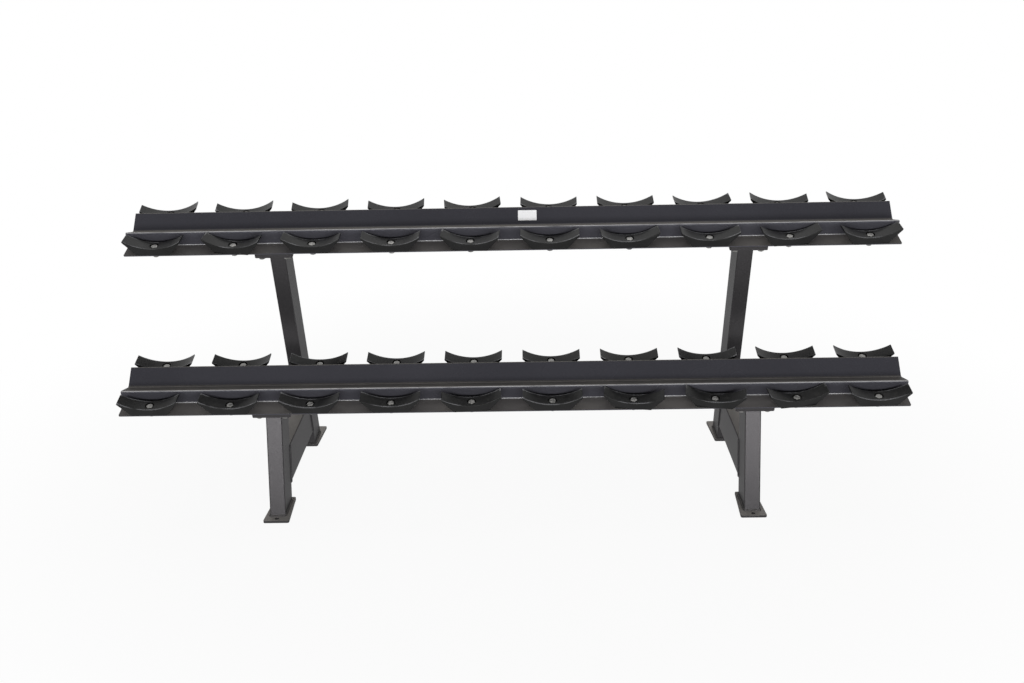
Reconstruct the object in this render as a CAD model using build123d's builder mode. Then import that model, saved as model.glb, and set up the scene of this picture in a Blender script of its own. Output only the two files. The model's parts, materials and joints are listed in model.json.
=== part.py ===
from build123d import *
from math import atan2, cos, degrees, radians, sin, sqrt
import os

# Two-tier dumbbell rack with saddles. Millimetres, +Z up, +X along the rails to the right, +Y to the rear.
# The origin is on the floor, midway between the two side frames and midway between the front and rear feet.

# ---- overall sizes ----
places = 10  # along each rail
saddle_pitch = 250.0
rail_end_margin = 5.0  # from the last saddle to the rail's end
frame_inboard = 1.0  # a side frame's middle, inboard of the midway point between the second and third places
base_depth = 693.0  # from the front edge of the front feet to the rear edge of the rear feet
lower_ridge_height = 409.0  # floor to the front ridge of the lower rail
upper_ridge_height = 856.0
lower_ridge_setback = 114.0  # front edge of the feet to the front ridge of the lower rail
upper_ridge_setback = 348.0
rail_tilt = 16.1  # degrees, front edge down

# ---- rail section, square to the rail ----
sheet = 3.0
flange_width = 60.0
wall_height = 49.0
rear_ridge_rise = 3.5  # the rear ridge over the front ridge
valley_half_width = 62.0
valley_depth = 34.0
bend_radius = 1.5  # on the hollow side of a bend
valley_radius = 12.0
flange_corner_radius = 5.0

# ---- saddles ----
saddle_width = 184.0
saddle_wall_gap = 15.5  # between the rail's wall and a saddle that isn't turned
saddle_overhang = 0.5  # past the flange's edge
saddle_floor = 22.0  # height of the trough's lowest line over the flange
trough_radius = 162.0
saddle_base_width = 108.0
saddle_end_height = 6.0
saddle_edge_radius = 1.5

# ---- bolts of the saddles ----
bolt_diameter = 12.0
bolt_head_width = 19.0  # across flats
bolt_head_height = 7.5
corner_chamfer_inset = 0.4  # of the heads' and nuts' end faces, inside the flats
corner_chamfer_angle = 60.0  # degrees from the bolt's line
washer_diameter = 24.0
washer_thickness = 2.0
nut_height = 10.0
thread_end = 3.0  # how far the thread stands out of the nut
bolt_clearance = 0.5  # around the shank in a plain hole
thread_clearance = 0.1
head_recess_depth = 10.5
head_recess_clearance = 2.0  # around the washer

# ---- side frames ----
tube_width = 50.0
tube_depth = 100.0
tube_wall = 3.0
tube_corner_radius = 4.0
leg_setback = 29.0  # front edge of the feet to the leg's front face, at the floor
leg_top_inset = 32.5  # front edge of the top plate to the leg's front face, along the plate
post_setback = 43.5  # rear edge of the feet to the post's rear face, at the floor
post_top_inset = 87.5  # rear edge of the top plate to the post's rear face, along the plate
beam_depth = 120.0  # the cross beam is a deeper tube, of the same width and wall
beam_bottom = 66.0

# ---- foot plates ----
foot_end_margin = 7.6  # behind the tube, at the plate's narrow end
foot_wide_margin = 16.0  # beside the tube
foot_narrow_margin = 8.0
foot_thickness = 8.0
foot_corner_radius = 6.0
anchor_diameter = 12.0
anchor_inset = 14.0  # from the plate's wide end

# ---- plates between the frames and the rails ----
plate_side_margin = 20.0  # from the bolts to the plate's sides
rail_plate_thickness = 9.0
top_plate_thickness = 8.0
plate_front_inset = 5.0  # behind the flange's front edge
plate_corner_radius = 6.0
plate_bolt_side_gap = 3.0  # between the tube and the washers beside it
plate_bolt_end_gap = 4.0  # between the washers and the plate's front and rear edges
plate_bolt_gap = 0.5  # between the bolt's end and the flange

# ---- label ----
label_width = 60.0
label_height = 37.0
label_thickness = 0.6
label_offset = 55.0  # right of the rail's middle
label_corner_radius = 2.0

# Degrees by which each saddle is turned on its single bolt, left to right. Plus turns the right end to the rear.
saddle_turns = {
    "lower_front": (0, -1, -1, 0, 4, 0, -6, -7.5, 7.5, 2),
    "lower_rear": (0, 0, 0, 0, 0, 0, 0, 0, 0, 0),
    "upper_front": (-3, -7.5, -3, -1.5, -5, 0, 5, 1, 6, 5),
    "upper_rear": (5, 4, 5, 3, 5, -1, 0, 4, -4, -3),
}

# ---- worked out ----
feet_front = -base_depth / 2
feet_rear = base_depth / 2
rail_length = (places - 1) * saddle_pitch + saddle_width + 2 * rail_end_margin
rail_section_width = 2 * valley_half_width
flange_under = -wall_height - sheet
saddle_depth = flange_width + saddle_overhang - saddle_wall_gap
saddle_center = saddle_wall_gap + saddle_depth / 2  # from the rail's wall
frame_middle = ((places - 1) / 2 - 1.5) * saddle_pitch - frame_inboard
frames = {"left": -frame_middle, "right": frame_middle}
plate_depth = rail_section_width + 2 * (flange_width - plate_front_inset)
plate_middle = valley_half_width
plate_bolt_spacing = tube_width + washer_diameter + 2 * plate_bolt_side_gap
plate_bolt_inset = washer_diameter / 2 + plate_bolt_end_gap
plate_width = plate_bolt_spacing + 2 * plate_side_margin
rail_plate_under = flange_under - rail_plate_thickness
top_plate_under = rail_plate_under - top_plate_thickness
foot_wide_end = tube_width + 2 * foot_wide_margin
foot_narrow_end = tube_width + 2 * foot_narrow_margin


def rail_plane(setback, ridge_height):
    """The rail's own plane: X along the rail, Y to the rear and Z square to the flanges, from the front ridge."""
    return Plane(
        origin=(0, feet_front + setback, ridge_height),
        x_dir=(1, 0, 0),
        z_dir=(0, -sin(radians(rail_tilt)), cos(radians(rail_tilt))),
    )


rails = {
    "lower": rail_plane(lower_ridge_setback, lower_ridge_height),
    "upper": rail_plane(upper_ridge_setback, upper_ridge_height),
}


def in_rail(rail, x, y, z, turn=0.0):
    """A plane parallel to the flanges, with its origin at a point in the rail's own directions."""
    at = rails[rail].from_local_coords(Vector(x, y, z))
    along = rails[rail].x_dir.rotate(Axis((0, 0, 0), rails[rail].z_dir), turn)
    return Plane(origin=at, x_dir=along, z_dir=rails[rail].z_dir)


def saddle_places(rail, side):
    """The points on the flange below each saddle's middle, in the rail's own directions, with their turns."""
    y = -saddle_center if side == "front" else rail_section_width + saddle_center
    turns = saddle_turns[f"{rail}_{side}"]
    return [((i - (places - 1) / 2) * saddle_pitch, y, -wall_height, turns[i % len(turns)]) for i in range(places)]


def plate_bolt_places():
    """The middles of a plate's four bolts, across and along the plate from its own middle."""
    along = plate_depth / 2 - plate_bolt_inset
    across = plate_bolt_spacing / 2
    return [(x, y) for x in (-across, across) for y in (-along, along)]


def save(part, label):
    part.label = label
    export_step(part, f"parts/{label}.step")


os.makedirs("parts", exist_ok=True)


# ---- rails: one bent sheet each ----
def make_rail(rail):
    plane = rails[rail]
    end = Plane(origin=plane.from_local_coords(Vector(-rail_length / 2, 0, 0)), x_dir=plane.y_dir, z_dir=plane.x_dir)
    upper_side = [
        (-flange_width, -wall_height),
        (0, -wall_height),
        (0, 0),
        (valley_half_width, -valley_depth),
        (rail_section_width, rear_ridge_rise),
        (rail_section_width, -wall_height),
        (rail_section_width + flange_width, -wall_height),
    ]
    outer_bend = bend_radius + sheet
    bends = [bend_radius, outer_bend, valley_radius, outer_bend, bend_radius]
    with BuildPart() as part:
        with BuildSketch(end):
            with BuildLine():
                FilletPolyline(*upper_side, radius=bends)
                offset(amount=sheet, side=Side.RIGHT)
            make_face()
        extrude(amount=rail_length)
        upright = part.edges().filter_by(Axis(plane.origin, plane.z_dir))
        fillet(upright.group_by(SortBy.LENGTH)[0], flange_corner_radius)
        for side in ("front", "rear"):
            for x, y, z, turn in saddle_places(rail, side):
                with BuildSketch(in_rail(rail, x, y, z)):
                    Circle(bolt_diameter / 2 + bolt_clearance)
                extrude(amount=-sheet, mode=Mode.SUBTRACT)
    save(part.part, f"{rail}_rail")


# ---- saddles: moulded blocks with a round trough ----
def make_saddle(rail, side, number, place):
    x, y, z, turn = place
    base = in_rail(rail, x, y, z, turn)
    front = Plane(origin=base.origin - base.y_dir * saddle_depth / 2, x_dir=base.x_dir, z_dir=-base.y_dir)
    half = saddle_width / 2
    tip_height = saddle_floor + trough_radius - sqrt(trough_radius**2 - half**2)
    with BuildPart() as saddle:
        with BuildSketch(front):
            with BuildLine():
                Polyline(
                    (-half, tip_height),
                    (-half, tip_height - saddle_end_height),
                    (-saddle_base_width / 2, 0),
                    (saddle_base_width / 2, 0),
                    (half, tip_height - saddle_end_height),
                    (half, tip_height),
                )
                ThreePointArc((half, tip_height), (0, saddle_floor), (-half, tip_height))
            make_face()
        extrude(amount=-saddle_depth)
        rims = saddle.edges().filter_by(GeomType.CIRCLE)
        ends = saddle.edges().filter_by(Axis(base.origin, base.y_dir)).group_by(SortBy.DISTANCE)[-1]
        fillet(rims + ends, saddle_edge_radius)
        with BuildSketch(base.offset(saddle_floor - head_recess_depth)):
            Circle(washer_diameter / 2 + head_recess_clearance)
        extrude(amount=head_recess_depth + tip_height, mode=Mode.SUBTRACT)
        with BuildSketch(base):
            Circle(bolt_diameter / 2 + bolt_clearance)
        extrude(amount=saddle_floor, mode=Mode.SUBTRACT)
    save(saddle.part, f"{rail}_{side}_saddle_{number:02d}")


for rail in rails:
    make_rail(rail)
    for side in ("front", "rear"):
        for number, place in enumerate(saddle_places(rail, side), start=1):
            make_saddle(rail, side, number, place)


# ---- bolts, washers and nuts of the saddles ----
def save_group(solids, label):
    """Writes identical fasteners as one group of separate solids."""
    group = Compound(children=solids)
    save(group, label)


def all_saddle_places():
    return [(rail, *place) for rail in rails for side in ("front", "rear") for place in saddle_places(rail, side)]


def make_hex_bolt(seat, shank_length):
    """A bolt whose head stands on the seat plane, with its shank pointing the other way."""
    with BuildPart() as bolt:
        with BuildSketch(seat):
            RegularPolygon(bolt_head_width / 2, 6, major_radius=False)
        extrude(amount=bolt_head_height)
        with BuildSketch(seat.offset(bolt_head_height)):
            Circle(bolt_head_width / 2 - corner_chamfer_inset)
        extrude(amount=-bolt_head_height, taper=-corner_chamfer_angle, mode=Mode.INTERSECT)
        with BuildSketch(seat):
            Circle(bolt_diameter / 2)
        extrude(amount=-shank_length)
    return bolt.part.solids()[0]


def make_washer(seat):
    """A washer that lies on the seat plane."""
    with BuildPart() as washer:
        with BuildSketch(seat):
            Circle(washer_diameter / 2)
            Circle(bolt_diameter / 2 + bolt_clearance, mode=Mode.SUBTRACT)
        extrude(amount=washer_thickness)
    return washer.part.solids()[0]


def make_nut(seat):
    """A nut that hangs from the seat plane."""
    with BuildPart() as nut:
        with BuildSketch(seat):
            RegularPolygon(bolt_head_width / 2, 6, major_radius=False)
        extrude(amount=-nut_height)
        with BuildSketch(seat.offset(-nut_height)):
            Circle(bolt_head_width / 2 - corner_chamfer_inset)
        extrude(amount=nut_height, taper=-corner_chamfer_angle, mode=Mode.INTERSECT)
        with BuildSketch(seat):
            Circle(bolt_diameter / 2 + thread_clearance)
        extrude(amount=-nut_height, mode=Mode.SUBTRACT)
    return nut.part.solids()[0]


def make_saddle_fasteners():
    recess = saddle_floor - head_recess_depth
    shank = recess + washer_thickness + sheet + washer_thickness + nut_height + thread_end
    bolts, washers, nuts = [], [], []
    for rail, x, y, z, turn in all_saddle_places():
        washers.append(make_washer(in_rail(rail, x, y, z + recess)))
        bolts.append(make_hex_bolt(in_rail(rail, x, y, z + recess + washer_thickness), shank))
        washers.append(make_washer(in_rail(rail, x, y, flange_under - washer_thickness)))
        nuts.append(make_nut(in_rail(rail, x, y, flange_under - washer_thickness)))
    save_group(bolts, "saddle_bolts")
    save_group(washers, "saddle_washers")
    save_group(nuts, "saddle_nuts")


# ---- side frames ----
def lean_to(rail, along, floor_y):
    """Degrees by which a tube's face leans to the rear, from the floor to a point of the top plate's underside."""
    top = in_rail(rail, 0, plate_middle + along, top_plate_under).origin
    return degrees(atan2(top.Y - floor_y, top.Z))


leg_front_y = feet_front + leg_setback
post_rear_y = feet_rear - post_setback
leg_lean = lean_to("lower", leg_top_inset - plate_depth / 2, leg_front_y)
post_lean = lean_to("upper", plate_depth / 2 - post_top_inset, post_rear_y)
post_footprint = tube_depth / cos(radians(post_lean))
post_front_y = post_rear_y - post_footprint
foot_length = post_setback + post_footprint + foot_end_margin


def tube_plane(x, front_y, lean):
    """The square section of a leaning tube at the floor, with Z up along the tube. Plus leans to the rear."""
    middle_y = front_y + tube_depth / 2 / cos(radians(lean))
    return Plane(origin=(x, middle_y, 0), x_dir=(1, 0, 0), z_dir=(0, sin(radians(lean)), cos(radians(lean))))


def under_top_plate(rail):
    """The underside of the plate that carries a rail, facing up and to the front."""
    return in_rail(rail, 0, 0, top_plate_under)


foot_top = Plane(origin=(0, 0, foot_thickness), x_dir=(1, 0, 0), z_dir=(0, 0, 1))


def draw_tube(depth):
    RectangleRounded(tube_width, depth, tube_corner_radius)
    inner_radius = max(tube_corner_radius - tube_wall, tube_wall / 2)
    RectangleRounded(tube_width - 2 * tube_wall, depth - 2 * tube_wall, inner_radius, mode=Mode.SUBTRACT)


def make_upright(rail, x, front_y, lean, label):
    """A leaning tube, cut level at its foot plate and along the rail at its top plate."""
    with BuildPart() as upright:
        with BuildSketch(tube_plane(x, front_y, lean)):
            draw_tube(tube_depth)
        extrude(amount=2 * rails[rail].origin.Z, both=True)
        split(bisect_by=foot_top, keep=Keep.TOP)
        split(bisect_by=under_top_plate(rail), keep=Keep.BOTTOM)
    save(upright.part, label)


def make_cross_beam(x, label):
    """A level tube between the leg's rear face and the post's front face."""
    leg_rear = tube_plane(x, leg_front_y, leg_lean)
    leg_rear = Plane(origin=leg_rear.origin + leg_rear.y_dir * tube_depth / 2, z_dir=leg_rear.y_dir)
    post_front = tube_plane(x, post_front_y, post_lean)
    post_front = Plane(origin=post_front.origin - post_front.y_dir * tube_depth / 2, z_dir=post_front.y_dir)
    level = Plane(origin=(x, 0, beam_bottom + beam_depth / 2), x_dir=(1, 0, 0), z_dir=(0, -1, 0))
    with BuildPart() as beam:
        with BuildSketch(level):
            draw_tube(beam_depth)
        extrude(amount=base_depth, both=True)
        split(bisect_by=leg_rear, keep=Keep.TOP)
        split(bisect_by=post_front, keep=Keep.BOTTOM)
    save(beam.part, label)


def make_foot_plate(x, wide_end_y, towards, label):
    """A tapered plate that points its wide end away from the frame, with the anchor hole near that end."""
    narrow_end_y = wide_end_y + towards * foot_length
    with BuildPart() as foot:
        with BuildSketch(Plane.XY):
            with BuildLine():
                Polyline(
                    (x - foot_wide_end / 2, wide_end_y),
                    (x + foot_wide_end / 2, wide_end_y),
                    (x + foot_narrow_end / 2, narrow_end_y),
                    (x - foot_narrow_end / 2, narrow_end_y),
                    close=True,
                )
            make_face()
        extrude(amount=foot_thickness)
        fillet(foot.edges().filter_by(Axis.Z), foot_corner_radius)
        with BuildSketch(Plane(origin=(x, wide_end_y + towards * anchor_inset, 0))):
            Circle(anchor_diameter / 2)
        extrude(amount=foot_thickness, mode=Mode.SUBTRACT)
    save(foot.part, label)


def make_plate(rail, x, top, thickness, hole_radius):
    """A plate along the rail's underside, with four bolt holes."""
    face = in_rail(rail, x, plate_middle, top)
    with BuildPart() as plate:
        with BuildSketch(face):
            RectangleRounded(plate_width, plate_depth, plate_corner_radius)
        extrude(amount=-thickness)
        for across, along in plate_bolt_places():
            with BuildSketch(in_rail(rail, x + across, plate_middle + along, top)):
                Circle(hole_radius)
            extrude(amount=-thickness, mode=Mode.SUBTRACT)
    return plate.part.solids()[0]


def make_frame_plates():
    rail_plates, top_plates, bolts, washers = [], [], [], []
    shank = washer_thickness + top_plate_thickness + rail_plate_thickness - plate_bolt_gap
    for rail in rails:
        for x in frames.values():
            tapped = bolt_diameter / 2 + thread_clearance
            plain = bolt_diameter / 2 + bolt_clearance
            rail_plates.append(make_plate(rail, x, flange_under, rail_plate_thickness, tapped))
            top_plates.append(make_plate(rail, x, rail_plate_under, top_plate_thickness, plain))
            for across, along in plate_bolt_places():
                at = (x + across, plate_middle + along)
                seat = in_rail(rail, *at, top_plate_under)
                down = Plane(origin=seat.origin, x_dir=seat.x_dir, z_dir=-seat.z_dir)
                washers.append(make_washer(down))
                bolts.append(make_hex_bolt(down.offset(washer_thickness), shank))
    save_group(rail_plates, "rail_plates")
    save_group(top_plates, "top_plates")
    save_group(bolts, "plate_bolts")
    save_group(washers, "plate_washers")


# ---- label: a small bare plate on the upper rail's band ----
def make_label():
    band_angle = degrees(atan2(rear_ridge_rise + valley_depth, valley_half_width))
    middle = in_rail("upper", label_offset, 1.5 * valley_half_width, (rear_ridge_rise - valley_depth) / 2)
    up_band = middle.y_dir.rotate(Axis((0, 0, 0), (1, 0, 0)), band_angle)
    face = Plane(origin=middle.origin, x_dir=(1, 0, 0), z_dir=Vector(1, 0, 0).cross(up_band))
    with BuildPart() as label:
        with BuildSketch(face):
            RectangleRounded(label_width, label_height, label_corner_radius)
        extrude(amount=label_thickness)
    save(label.part, "label_plate")


make_saddle_fasteners()
for name, x in frames.items():
    make_upright("lower", x, leg_front_y, leg_lean, f"{name}_front_leg")
    make_upright("upper", x, post_front_y, post_lean, f"{name}_rear_post")
    make_cross_beam(x, f"{name}_cross_beam")
    make_foot_plate(x, feet_front, 1, f"{name}_front_foot_plate")
    make_foot_plate(x, feet_rear, -1, f"{name}_rear_foot_plate")
make_frame_plates()
make_label()
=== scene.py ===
import json
import random
from math import cos, pi, radians, sin, tan

import bmesh
import bpy
from mathutils import Matrix, Vector, geometry


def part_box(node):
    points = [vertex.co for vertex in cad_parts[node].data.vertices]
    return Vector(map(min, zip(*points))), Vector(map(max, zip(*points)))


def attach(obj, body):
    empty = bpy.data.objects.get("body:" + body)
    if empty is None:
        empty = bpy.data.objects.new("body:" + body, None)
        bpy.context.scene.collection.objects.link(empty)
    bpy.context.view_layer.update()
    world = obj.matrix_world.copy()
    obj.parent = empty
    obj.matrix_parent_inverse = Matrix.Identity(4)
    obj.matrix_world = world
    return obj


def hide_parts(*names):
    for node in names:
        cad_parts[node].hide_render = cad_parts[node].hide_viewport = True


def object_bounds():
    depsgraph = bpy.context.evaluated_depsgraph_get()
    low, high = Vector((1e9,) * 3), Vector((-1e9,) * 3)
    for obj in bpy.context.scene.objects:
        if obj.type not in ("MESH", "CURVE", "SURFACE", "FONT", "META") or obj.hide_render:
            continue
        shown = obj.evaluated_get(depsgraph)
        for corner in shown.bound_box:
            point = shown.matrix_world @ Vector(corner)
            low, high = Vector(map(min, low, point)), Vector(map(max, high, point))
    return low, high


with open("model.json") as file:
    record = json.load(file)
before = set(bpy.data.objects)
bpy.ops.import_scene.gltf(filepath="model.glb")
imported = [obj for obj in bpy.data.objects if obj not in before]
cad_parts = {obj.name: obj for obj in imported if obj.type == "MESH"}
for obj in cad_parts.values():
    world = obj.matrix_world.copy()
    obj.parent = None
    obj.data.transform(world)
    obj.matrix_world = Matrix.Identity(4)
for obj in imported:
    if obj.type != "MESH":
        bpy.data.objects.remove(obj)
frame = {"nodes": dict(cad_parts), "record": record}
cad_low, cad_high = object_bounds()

scene = bpy.context.scene
nodes = frame["nodes"]
slots = {part["node"]: part["material_slot"] for part in frame["record"]["subparts"]}

# ---- camera ----
sensor_width, lens_length = 36.0, 37.70  # millimetres
camera_place = (0.0630, -3.2865, 1.7200)
heading, downward, roll = 1.12, 20.85, -1.23  # degrees

camera = bpy.data.objects.new("camera", bpy.data.cameras.new("camera"))
camera.data.sensor_width = sensor_width
camera.data.lens = lens_length
camera.matrix_world = (
    Matrix.Translation(camera_place)
    @ Matrix.Rotation(radians(heading), 4, "Z")
    @ Matrix.Rotation(radians(90 - downward), 4, "X")
    @ Matrix.Rotation(radians(roll), 4, "Z")
)
scene.collection.objects.link(camera)
scene.camera = camera


# ---- shader helpers ----
class Socket:
    """A node's output that Python's operators can work on."""

    def __init__(self, tree, link):
        self.tree = tree
        self.link = link

    def maths(self, operation, *others):
        return self.tree.node("ShaderNodeMath", {"operation": operation}, (self, *others))

    def __add__(self, other):
        return self.maths("ADD", other)

    def __radd__(self, other):
        return self.maths("ADD", other)

    def __sub__(self, other):
        return self.maths("SUBTRACT", other)

    def __rsub__(self, other):
        return self.tree.node("ShaderNodeMath", {"operation": "SUBTRACT"}, (other, self))

    def __mul__(self, other):
        return self.maths("MULTIPLY", other)

    def __rmul__(self, other):
        return self.maths("MULTIPLY", other)

    def over(self, low, high):
        """0 below low, 1 above high, with a smooth change between."""
        settings = {"interpolation_type": "SMOOTHSTEP"}
        sockets = {"Value": self, "From Min": low, "From Max": high}
        return self.tree.node("ShaderNodeMapRange", settings, sockets)

    def part(self, name):
        """Another output of the same node."""
        return Socket(self.tree, self.link.node.outputs[name])


class Tree:
    """A node tree whose nodes all come from one method."""

    def __init__(self, node_tree):
        self.node_tree = node_tree

    def connect(self, value, socket):
        if isinstance(value, Socket):
            self.node_tree.links.new(value.link, socket)
        elif isinstance(value, tuple) and len(value) == 3 and socket.type == "RGBA":
            socket.default_value = (*value, 1.0)
        else:
            socket.default_value = value

    def node(self, kind, settings=None, inputs=(), output=0):
        """A new node: its settings come first, then its sockets by place or by name."""
        new = self.node_tree.nodes.new(kind)
        for key, value in (settings or {}).items():
            setattr(new, key, value)
        pairs = inputs.items() if isinstance(inputs, dict) else enumerate(inputs)
        for key, value in pairs:
            self.connect(value, new.inputs[key])
        return Socket(self, new.outputs[output])

    def vector(self, operation, *inputs, output=0):
        """Vector maths, whose first output is a vector and whose output "Value" is a number."""
        return self.node("ShaderNodeVectorMath", {"operation": operation}, inputs, output)

    def seen(self):
        """1 for what the camera, a mirror or glass looks at, and 0 for what only gives light."""
        rays = self.node("ShaderNodeLightPath")
        mirrored = rays.part("Is Camera Ray").maths("MAXIMUM", rays.part("Is Glossy Ray"))
        return mirrored.maths("MAXIMUM", rays.part("Is Transmission Ray"))


class Shader(Tree):
    """A material's node tree, with a Principled shader."""

    def __init__(self, name, **constants):
        self.material = bpy.data.materials.new(name)
        self.material.use_nodes = True
        super().__init__(self.material.node_tree)
        self.surface = self.node_tree.nodes["Principled BSDF"]
        self.set(**constants)

    def set(self, **sockets):
        """Sets or links the Principled shader's sockets, and gives back the material."""
        for name, value in sockets.items():
            self.connect(value, self.surface.inputs[name.replace("_", " ")])
        return self.material

    def point(self):
        return self.node("ShaderNodeTexCoord", output="Object")

    def noise(self, scale, detail=2.0, roughness=0.5, point=None):
        sockets = {
            "Vector": point or self.point(),
            "Scale": scale,
            "Detail": detail,
            "Roughness": roughness,
        }
        return self.node("ShaderNodeTexNoise", {"noise_dimensions": "3D"}, sockets)

    def blend(self, factor, first, second):
        sockets = {0: factor, 6: first, 7: second}
        return self.node("ShaderNodeMix", {"data_type": "RGBA"}, sockets, output=2)

    def edges(self, radius, sharpness=0.25):
        """1 near an outer edge and 0 on flat stretches."""
        rounded = self.node("ShaderNodeBevel", {"samples": 6}, {"Radius": radius})
        flat = self.node("ShaderNodeNewGeometry", output="Normal")
        match = self.vector("DOT_PRODUCT", rounded, flat, output="Value")
        return (1 - match).over(0.0, sharpness)

    def up(self):
        """The height part of the surface's direction: 1 on tops, 0 on uprights, -1 below."""
        normal = self.node("ShaderNodeNewGeometry", output="Normal")
        return self.node("ShaderNodeSeparateXYZ", inputs=(normal,), output="Z")

    def near_line(self, line, reach):
        """1 on a line along X, given as its Y and Z, and 0 beyond the reach."""
        offset = self.vector("SUBTRACT", self.point(), (0.0, *line))
        across = self.vector("MULTIPLY", offset, (0.0, 1.0, 1.0))
        gap = self.vector("LENGTH", across, output="Value")
        return 1 - gap.over(0.6 * reach, reach)

    def off_rows(self, rows, low, high):
        """0 nearer than low to any of the rails' rows of bolts, and 1 beyond high."""
        across = self.vector("DOT_PRODUCT", self.point(), tuple(across_rails), output="Value")
        clear, *others = [(across - row).maths("ABSOLUTE").over(low, high) for row in rows]
        for other in others:
            clear = clear * other
        return clear

    def height(self, value, strength, distance, before=None):
        sockets = {"Height": value, "Strength": strength, "Distance": distance}
        if before:
            sockets["Normal"] = before
        return self.node("ShaderNodeBump", inputs=sockets)


# ---- lines on the rails and saddles that the painted highlights follow ----
rail_tilt = radians(16.1)  # both rails' front edges are lower by this angle
square_to_rails = Matrix.Rotation(rail_tilt, 4, "X")
across_rails = square_to_rails @ Vector((0.0, 1.0, 0.0))
wall_height = 0.049
ridge_to_crease = Vector((0.0, -0.0061, 0.0036 - wall_height))  # square to the rails

rail_ridges = []  # the Y and Z of each rail's front ridge
rail_creases = []  # and of the crease between its front wall and its flange
for rail in ("lower_rail", "upper_rail"):
    points = [corner.co.copy() for corner in nodes[rail].data.vertices]
    middle = (min(point.y for point in points) + max(point.y for point in points)) / 2
    ridge = max((point for point in points if point.y < middle), key=lambda point: point.z)
    crease = ridge + square_to_rails @ ridge_to_crease
    rail_ridges.append((ridge.y, ridge.z))
    rail_creases.append((crease.y, crease.z))

saddle_rows = []  # how far across the rails each row of saddle bolts stands
for row in ("lower_front", "lower_rear", "upper_front", "upper_rear"):
    saddle = nodes[f"{row}_saddle_05"].data.vertices
    places = [corner.co.dot(across_rails) for corner in saddle]
    saddle_rows.append((min(places) + max(places)) / 2)


# ---- finishes ----
# painted highlight: this light steel colour is laid along the rails' ridges and creases for the
# bright line of reflected light on each bend
painted_highlight_steel = (0.50, 0.50, 0.51)
# dust colours, which also paint upward faces lighter as painted light from above
thin_dust_and_top_light = (0.17, 0.16, 0.15)
thick_dust_and_top_light = (0.42, 0.40, 0.38)


def shade(colour, share):
    """A lighter or darker version of a colour."""
    return tuple(channel * share for channel in colour)


def powder_coat(name, colour, roughness, ridges=(), creases=()):
    """Dark baked paint with metal flake: an orange-peel skin, faint clouds, dust on the tops that
    also paints them lighter as painted top light, and a rub along the edges. The rails' ridges and
    creases get a painted highlight, and their front walls are painted lighter, as painted light."""
    paint = Shader(name, Specular_IOR_Level=0.0, Specular_Tint=(0.77, 0.77, 0.77))
    cloud = paint.noise(3.0, detail=3.0).over(0.3, 0.7)
    flake = paint.noise(420.0, detail=1.0).over(0.35, 0.75)
    film = paint.noise(7.0, detail=4.0).over(0.25, 0.8)
    # dust on upward faces, and with it a painted top light
    dust_and_top_light = paint.up().over(0.70, 0.98) * (0.6 + 0.4 * film)
    rub = paint.edges(0.0015) * paint.noise(28.0, detail=3.0).over(0.4, 0.75)
    coat = paint.blend(flake * 0.6 + cloud * 0.4, shade(colour, 0.85), shade(colour, 1.15))
    coat = paint.blend(rub * 0.30, coat, shade(colour, 2.0))
    # painted light: on the rails, faces that turn a little downwards (their front walls) are
    # painted lighter for the light falling on them
    if ridges:
        painted_wall_light = paint.up().over(-0.45, -0.35) * (1 - paint.up().over(-0.20, -0.10))
        coat = paint.blend(painted_wall_light * (0.8 + 0.2 * cloud), coat, shade(colour, 1.6))
    # painted highlight along each rail's front ridge and crease, where light glints off the bend
    for lines, reach, highlight_share in ((ridges, 0.0052, 1.0), (creases, 0.0030, 0.6)):
        for line in lines:
            painted_highlight = paint.near_line(line, reach) * paint.noise(11.0, detail=3.0).over(0.1, 0.6)
            coat = paint.blend(painted_highlight * highlight_share, coat, painted_highlight_steel)
    # dust and painted top light: upward faces, most of all level tops, are made lighter
    coat = paint.blend(dust_and_top_light * 0.8, coat, thin_dust_and_top_light)
    level_dust_and_top_light = paint.up().over(0.970, 0.995) * (0.7 + 0.3 * film)
    coat = paint.blend(level_dust_and_top_light * 0.75, coat, thick_dust_and_top_light)
    peel = paint.height(paint.noise(650.0, detail=2.0), 0.25, 0.0003)
    swell = paint.height(paint.noise(70.0, detail=1.0), 0.06, 0.0005, before=peel)
    gloss = roughness + 0.05 * cloud - 0.05 * rub + 0.15 * dust_and_top_light
    return paint.set(Base_Color=coat, Metallic=0.42 - 0.32 * dust_and_top_light, Roughness=gloss, Normal=swell)


def moulded_plastic(name):
    """Black satin plastic with a spark-eroded skin, faint clouds, scuffs in the trough and on other
    upward faces that also paint a lighter sheen there, and a painted highlight along the trough's
    two rims."""
    plastic = Shader(name, Specular_IOR_Level=0.17)
    cloud = plastic.noise(14.0, detail=3.0).over(0.3, 0.7)
    scratches = plastic.noise(55.0, detail=5.0, roughness=0.7).over(0.5, 0.8)
    # scuffs on upward faces, which also paint a lighter sheen there as painted light
    scuff_and_sheen = plastic.up().over(0.2, 0.8) * scratches
    colour = plastic.blend(cloud, (0.006, 0.006, 0.006), (0.010, 0.010, 0.010))
    colour = plastic.blend(scuff_and_sheen * 0.35, colour, (0.06, 0.057, 0.053))
    # painted highlight: a light line along the trough's rims, on upward faces and away from the
    # bolts, for the glint of light on the rims
    rim_highlight_edges = plastic.edges(0.008, 0.03) * plastic.noise(16.0, detail=2.0).over(0.38, 0.62)
    painted_rim_highlight = rim_highlight_edges * plastic.off_rows(saddle_rows, 0.015, 0.018) * plastic.up().over(0.30, 0.60)
    colour = plastic.blend(painted_rim_highlight, colour, (0.20, 0.20, 0.21))
    grain = plastic.height(plastic.noise(900.0, detail=2.0), 0.3, 0.0003)
    gloss = 0.30 + 0.06 * cloud + 0.12 * scuff_and_sheen
    return plastic.set(Base_Color=colour, Roughness=gloss, Normal=grain)


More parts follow.
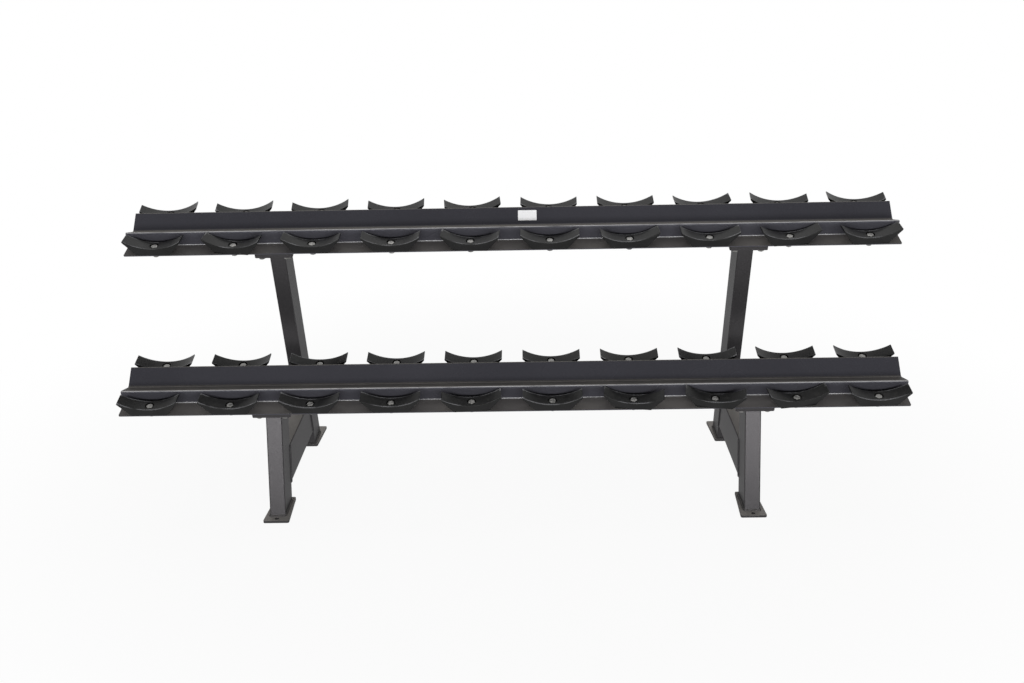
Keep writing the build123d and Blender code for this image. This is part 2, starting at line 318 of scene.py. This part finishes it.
def zinc_plate(name):
    """Dull zinc with a patchy tint and fine scratches around the turned faces."""
    zinc = Shader(name, Metallic=1.0)
    tint = zinc.noise(160.0, detail=3.0).over(0.3, 0.7)
    colour = zinc.blend(tint, (0.17, 0.168, 0.16), (0.30, 0.296, 0.285))
    stretched = zinc.vector("MULTIPLY", zinc.point(), (900.0, 900.0, 140.0))
    scratch = zinc.height(zinc.noise(1.0, detail=3.0, point=stretched), 0.15, 0.0002)
    return zinc.set(Base_Color=colour, Roughness=0.30 + 0.14 * tint, Normal=scratch)


def label_film(name):
    """White matt film with a faint fibre."""
    film = Shader(name, Specular_IOR_Level=0.4)
    fibre = film.noise(300.0, detail=3.0).over(0.3, 0.7)
    colour = film.blend(fibre, (0.86, 0.86, 0.87), (0.92, 0.92, 0.93))
    relief = film.height(fibre, 0.1, 0.0001)
    return film.set(Base_Color=colour, Roughness=0.42 + 0.08 * fibre, Normal=relief)


rail_colour = (0.045, 0.0445, 0.0525)
frame_colour = (0.050, 0.048, 0.050)
finishes = {
    "rail_paint": powder_coat("rail_paint", rail_colour, 0.26, rail_ridges, rail_creases),
    "frame_paint": powder_coat("frame_paint", frame_colour, 0.26),
    "saddle_plastic": moulded_plastic("saddle_plastic"),
    "zinc_steel": zinc_plate("zinc_steel"),
    "label_white": label_film("label_white"),
}
for node, thing in nodes.items():
    thing.data.materials.clear()
    thing.data.materials.append(finishes[slots[node]])


# ---- mesh helpers ----
turns = random.Random(11)  # of the fasteners about their own lines
ring_corners = 36  # so that each sixth part of a hexagon gets whole steps


def add_piece(name, made, slot, replaced=(), smooth_angle=30.0):
    """Turns finished mesh code into a piece that rides on the rack."""
    bmesh.ops.recalc_face_normals(made, faces=made.faces)
    mesh = bpy.data.meshes.new(name)
    made.to_mesh(mesh)
    made.free()
    mesh.polygons.foreach_set("use_smooth", [True] * len(mesh.polygons))
    mesh.set_sharp_from_angle(angle=radians(smooth_angle))
    mesh.materials.append(finishes[slot])
    piece = bpy.data.objects.new(name, mesh)
    scene.collection.objects.link(piece)
    weighted = piece.modifiers.new("flat faces stay flat", "WEIGHTED_NORMAL")
    weighted.keep_sharp = True
    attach(piece, "root")
    if replaced:
        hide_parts(*replaced)


def joined_mesh(node):
    """A node's mesh with its repeated corners joined."""
    made = bmesh.new()
    made.from_mesh(nodes[node].data)
    bmesh.ops.remove_doubles(made, verts=made.verts, dist=1e-6)
    return made


def solids_of(node):
    """The lowest and highest corners of each separate solid in a node, square to the rails."""
    made = joined_mesh(node)
    made.transform(square_to_rails.inverted())
    boxes = []
    for first in made.verts:
        if first.tag:
            continue
        first.tag = True
        found = [first]
        for corner in found:
            for edge in corner.link_edges:
                other = edge.other_vert(corner)
                if not other.tag:
                    other.tag = True
                    found.append(other)
        low = Vector([min(corner.co[axis] for corner in found) for axis in range(3)])
        high = Vector([max(corner.co[axis] for corner in found) for axis in range(3)])
        boxes.append((low, high))
    made.free()
    return boxes


def skin(made, rings, matrix, looped=False):
    """Joins rings of points into one closed skin, in the order in which they come. A looped
    one has its last ring joined to its first, and any other one has a cap at each end."""
    rows = [[made.verts.new(matrix @ Vector(point)) for point in points] for points in rings]
    for low, high in zip(rows, rows[1:] + rows[:1] if looped else rows[1:]):
        for here in range(len(low)):
            ahead = (here + 1) % len(low)
            made.faces.new((low[here], low[ahead], high[ahead], high[here]))
    if not looped:
        made.faces.new(reversed(rows[0]))
        made.faces.new(rows[-1])


def ring(reach, height):
    """Points around the Z axis: reach and height are numbers, or functions of the angle."""
    points = []
    for step in range(ring_corners):
        angle = 2 * pi * step / ring_corners
        out = reach(angle) if callable(reach) else reach
        up = height(angle) if callable(height) else height
        points.append((out * cos(angle), out * sin(angle), up))
    return points


# ---- fasteners ----
across_flats = 0.019
head_height = 0.0075
bolt_radius = 0.006
chamfer_rise = 1 / tan(radians(60))
chamfer_circle = across_flats / 2 - 0.0004
hairline = 0.0001  # the finest step, which catches light along an edge
edge_round = 0.0002
nut_face_inset, head_face_inset = 0.0004, 0.0005  # from the chamfer's circle to the flat face

thread_pitch = 0.00175
thread_depth = 0.0009
thread_crest = 1.25  # over 1, which leaves the thread's crest flat
thread_run = 0.0165  # how far the thread comes up from the bolt's end
thread_fade = 0.0008  # from the last turn to the plain shank
plain_shank = 0.002  # at least this much under the head has no thread
rows_a_turn = 4
end_chamfer = 0.0004
end_slope = 1.2

neck_drop, neck_flare = 0.0004, 0.0006  # the fillet under the head
washer_face = 0.95 * across_flats / 2  # the round face under the head
washer_face_height = 0.0004
inner_foot, outer_foot = 0.0005, 0.0008  # where a head's sides start
dish_rim, dish_wall, dish_middle = 0.82, 0.78, 0.25  # shares of the chamfer's circle
dish_depth = 0.0003  # of the hollow on top of a head
nut_lip = 0.0008  # the chamfer at a nut's bore
washer_clearance = 0.0005  # around a bolt
washer_roll, washer_roll_drop = 0.0008, 0.0003  # the rounding of a washer's upper edge
washer_bore_width, washer_bore_drop = 0.0005, 0.0004  # and of its bore's


def hexagon(angle):
    """How far a hexagon's side lies from its middle."""
    return across_flats / 2 / cos((angle + pi / 6) % (pi / 3) - pi / 6)


def inner_hexagon(angle):
    return hexagon(angle) - edge_round


def corner_drop(angle):
    """How far the turned chamfer comes down a hexagon's side."""
    return (hexagon(angle) - chamfer_circle) * chamfer_rise


def thread_ring(end, height):
    """One ring of a helical thread, with the bolt's end chamfered."""

    def reach(angle):
        phase = (height / thread_pitch - angle / (2 * pi)) % 1.0
        ridge = 1 - abs(2 * phase - 1)
        full = bolt_radius - thread_depth * (1 - min(1.0, thread_crest * ridge))
        return min(full, bolt_radius - thread_depth - end_chamfer + end_slope * (height - end))

    return ring(reach, height)


def bolt_rings(shank):
    """A hex bolt whose head stands on Z = 0, with its shank below."""
    end = -shank
    rows = int(min(thread_run, shank - plain_shank) / thread_pitch * rows_a_turn)
    heights = [end + row * thread_pitch / rows_a_turn for row in range(rows + 1)]

    def shoulder(angle):
        return head_height - corner_drop(angle)

    return [thread_ring(end, height) for height in heights] + [
        ring(bolt_radius, heights[-1] + thread_fade),
        ring(bolt_radius, -neck_drop),
        ring(bolt_radius + neck_flare, 0.0),
        ring(washer_face - edge_round, 0.0),
        ring(washer_face, washer_face_height),
        ring(inner_hexagon, inner_foot),
        ring(hexagon, outer_foot),
        ring(hexagon, lambda angle: shoulder(angle) - hairline),
        ring(inner_hexagon, shoulder),
        ring(chamfer_circle, head_height - hairline),
        ring(chamfer_circle - head_face_inset, head_height),
        ring(chamfer_circle * dish_rim, head_height),
        ring(chamfer_circle * dish_wall, head_height - dish_depth),
        ring(chamfer_circle * dish_middle, head_height - dish_depth / 2),
    ]


def nut_rings(height):
    """A hex nut from Z = 0 up, chamfered on both faces and at its bore."""
    bore = bolt_radius + hairline
    return [
        ring(bore, nut_lip),
        ring(bore + nut_lip, 0.0),
        ring(chamfer_circle - nut_face_inset, 0.0),
        ring(chamfer_circle, hairline),
        ring(hexagon, corner_drop),
        ring(hexagon, lambda angle: height - corner_drop(angle)),
        ring(chamfer_circle, height - hairline),
        ring(chamfer_circle - nut_face_inset, height),
        ring(bore + nut_lip, height),
        ring(bore, height - nut_lip),
    ]


def washer_rings(reach, thickness):
    """A stamped washer: its upper edge is rolled over, and its lower edge is left sharp."""
    bore = bolt_radius + washer_clearance
    return [
        ring(bore, edge_round),
        ring(bore + edge_round, 0.0),
        ring(reach - hairline, 0.0),
        ring(reach, edge_round),
        ring(reach, thickness - washer_roll),
        ring(reach - edge_round, thickness - washer_roll_drop),
        ring(reach - washer_roll, thickness),
        ring(bore + washer_bore_width, thickness),
        ring(bore, thickness - washer_bore_drop),
    ]


def stand(low, high, height, flipped):
    """The matrix that stands a fastener on a height in its CAD solid's box, square to the
    rails, and turned about its own line by chance."""
    middle = (low + high) / 2
    place = square_to_rails @ Matrix.Translation((middle.x, middle.y, height))
    over = Matrix.Rotation(pi if flipped else 0.0, 4, "X")
    return place @ over @ Matrix.Rotation(turns.uniform(0, 2 * pi), 4, "Z")


def make_bolts(node, flipped):
    made = bmesh.new()
    for low, high in solids_of(node):
        height = low.z + head_height if flipped else high.z - head_height
        rings = bolt_rings(high.z - low.z - head_height)
        skin(made, rings, stand(low, high, height, flipped))
    add_piece(f"{node}_threaded", made, "zinc_steel", (node,))


def make_nuts(node):
    made = bmesh.new()
    for low, high in solids_of(node):
        rings = nut_rings(high.z - low.z)
        skin(made, rings, stand(low, high, low.z, False), looped=True)
    add_piece(f"{node}_chamfered", made, "zinc_steel", (node,))


def make_washers(node, head_below):
    made = bmesh.new()
    for low, high in solids_of(node):
        height = high.z if head_below else low.z
        rings = washer_rings((high.x - low.x) / 2, high.z - low.z)
        skin(made, rings, stand(low, high, height, head_below), looped=True)
    add_piece(f"{node}_stamped", made, "zinc_steel", (node,))


make_bolts("saddle_bolts", flipped=False)
make_bolts("plate_bolts", flipped=True)
make_nuts("saddle_nuts")
make_washers("saddle_washers", head_below=False)
make_washers("plate_washers", head_below=True)


# ---- weld beads ----
weld_size = 0.0036
weld_ripple = 0.0034  # from one ripple to the next
ripple_share = 0.07  # of the bead's size
ripple_lag = 0.35  # of the bead's size, by which the ripples curve
weld_step = 0.0009
weld_corners = 12
weld_smooth_angle = 60.0
taper_start, taper_step = 0.35, 0.13  # shares of the full size at an open bead's ends
touching = 1e-4  # points this near to a tube's end lie on it
stitch_length = 0.036
stitch_margin = 0.010


def spaced(corners, closed):
    """Points along straight runs between corners, one weld step apart."""
    line = corners + corners[:1] if closed else corners
    points = []
    for start, end in zip(line, line[1:]):
        count = max(1, round((end - start).length / weld_step))
        points += [start.lerp(end, step / count) for step in range(count)]
    return points if closed else points + [corners[-1]]


def lay_bead(made, corners, facing, closed=True):
    """A rippled bead along a line. Facing is square to the plate that it lies on."""
    path = spaced(corners, closed)
    count = len(path)
    run = 0.0
    rings = []
    for place, point in enumerate(path):
        before = path[place - 1] if closed or place else point
        after = path[(place + 1) % count] if closed or place < count - 1 else point
        ahead = (after - before).normalized()
        side = ahead.cross(facing).normalized()
        run += (point - before).length
        from_end = min(place, count - 1 - place)
        taper = 1.0 if closed else min(1.0, taper_start + taper_step * from_end)
        points = []
        for step in range(weld_corners):
            angle = 2 * pi * step / weld_corners
            lag = ripple_lag * weld_size * cos(angle)
            wave = cos(2 * pi * (run + lag) / weld_ripple)
            reach = weld_size * taper * (1 - ripple_share + ripple_share * wave)
            points.append(point + reach * (cos(angle) * facing + sin(angle) * side))
        rings.append(points)
    skin(made, rings, Matrix.Identity(4), looped=closed)


def outline(node, kept, flattened):
    """The outer corners of a node's end, in order: those points that are kept, seen flattened."""
    points = [corner.co.copy() for corner in nodes[node].data.vertices if kept(corner.co)]
    order = geometry.convex_hull_2d([flattened(point) for point in points])
    return [points[place] for place in order]


def make_frame_welds(side):
    """Beads around both ends of a side frame's leg, post and cross beam."""
    made = bmesh.new()
    level_dust_and_top_light = Vector((0, 0, 1))
    rail_up = square_to_rails @ level_dust_and_top_light
    for node in (f"{side}_front_leg", f"{side}_rear_post"):
        low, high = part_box(node)
        peak = max(corner.co.dot(rail_up) for corner in nodes[node].data.vertices)
        foot = outline(node, lambda p: p.z < low.z + touching, lambda p: p.xy)
        head = outline(node, lambda p: p.dot(rail_up) > peak - touching, lambda p: p.xy)
        lay_bead(made, foot, level_dust_and_top_light)
        lay_bead(made, head, rail_up)
    beam = f"{side}_cross_beam"
    low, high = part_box(beam)
    middle = (low.y + high.y) / 2
    for end in (-1, 1):
        corners = outline(
            beam, lambda p: (p.y - middle) * end > 0, lambda p: Vector((p.x, p.z))
        )
        lay_bead(made, corners, geometry.normal(corners).normalized())
    add_piece(f"{side}_frame_welds", made, "frame_paint", smooth_angle=weld_smooth_angle)


def make_plate_welds():
    """Short beads between each rail plate's sides and the flanges above it."""
    made = bmesh.new()
    up = square_to_rails @ Vector((0, 0, 1))
    for low, high in solids_of("rail_plates"):
        for x in (low.x, high.x):
            for start in (low.y + stitch_margin, high.y - stitch_margin - stitch_length):
                ends = [Vector((x, y, high.z)) for y in (start, start + stitch_length)]
                lay_bead(made, [square_to_rails @ end for end in ends], up, closed=False)
    add_piece("rail_plate_welds", made, "rail_paint", smooth_angle=weld_smooth_angle)


make_frame_welds("left")
make_frame_welds("right")
make_plate_welds()


# ---- plates with their edges rounded off ----
flat_angle = radians(0.5)  # faces that meet at less than this are one face
sharp_angle = radians(35)
foot_rounding, plate_rounding, label_rounding = 0.0008, 0.0006, 0.00015


def soften(node, radius):
    """Replaces a node by a copy of its shape whose sharp edges are rounded off."""
    made = joined_mesh(node)
    bmesh.ops.dissolve_limit(made, angle_limit=flat_angle, verts=made.verts, edges=made.edges)
    sharp = [
        edge for edge in made.edges if edge.is_manifold and edge.calc_face_angle() > sharp_angle
    ]
    bmesh.ops.bevel(
        made, geom=sharp, offset=radius, segments=2, profile=0.5, affect="EDGES", clamp_overlap=True
    )
    add_piece(f"{node}_eased", made, slots[node], (node,))


for side in ("left", "right"):
    soften(f"{side}_front_foot_plate", foot_rounding)
    soften(f"{side}_rear_foot_plate", foot_rounding)
soften("rail_plates", plate_rounding)
soften("top_plates", plate_rounding)
soften("label_plate", label_rounding)


# ---- studio ----
white = (1.0, 1.0, 1.0)
floor_half_width = 14.0
world_light = 0.28


def add_lamp(name, place, target, size, watts):
    lamp = bpy.data.lights.new(name, "AREA")
    lamp.shape = "RECTANGLE"
    lamp.size, lamp.size_y = size
    lamp.energy = watts
    holder = bpy.data.objects.new(name, lamp)
    facing = (Vector(target) - Vector(place)).to_track_quat("-Z", "Y").to_matrix().to_4x4()
    holder.matrix_world = Matrix.Translation(place) @ facing
    scene.collection.objects.link(holder)


def pale(name, colour, near, far, reach):
    """Plain white wherever it is looked at or mirrored. Near the rack a little of its own
    surface shows through, which takes the rack's shadow."""
    ground = Shader(name, Base_Color=colour, Roughness=0.9, Specular_IOR_Level=0.1)
    distance = ground.vector("LENGTH", ground.point(), output="Value")
    shown = near + (far - near) * distance.over(0.4 * reach, reach)
    glow = ground.node("ShaderNodeEmission", inputs=(white, 1.0))
    lit = Socket(ground, ground.surface.outputs[0])
    mixed = ground.node("ShaderNodeMixShader", inputs=(ground.seen() * shown, lit, glow))
    ground.connect(mixed, ground.node_tree.nodes["Material Output"].inputs["Surface"])
    return ground.material


def make_floor():
    mesh = bpy.data.meshes.new("studio_floor")
    made = bmesh.new()
    bmesh.ops.create_grid(made, x_segments=1, y_segments=1, size=floor_half_width)
    made.to_mesh(mesh)
    made.free()
    floor = bpy.data.objects.new("studio_floor", mesh)
    floor.location = (0.0, 0.0, cad_low.z)
    mesh.materials.append(pale("studio_white", (0.80, 0.80, 0.80), near=0.93, far=1.0, reach=2.4))
    scene.collection.objects.link(floor)


def make_world(light):
    """Plain white where it is looked at or mirrored, and a plain level of light elsewhere."""
    scene.world = bpy.data.worlds.new("studio")
    scene.world.use_nodes = True
    sky = Tree(scene.world.node_tree)
    background = sky.node_tree.nodes["Background"]
    sockets = {"Value": sky.seen(), "To Min": light, "To Max": 1.0}
    sky.connect(white, background.inputs["Color"])
    sky.connect(sky.node("ShaderNodeMapRange", inputs=sockets), background.inputs["Strength"])


make_floor()
make_world(world_light)
add_lamp("front_box", (0.4, -5.2, 0.80), (0.4, 0.0, 0.45), size=(7.5, 1.0), watts=290.0)
add_lamp("top_box", (0.0, 1.4, 4.0), (0.0, 0.0, 0.5), size=(4.0, 2.5), watts=30.0)
scene.view_settings.view_transform = "Standard"
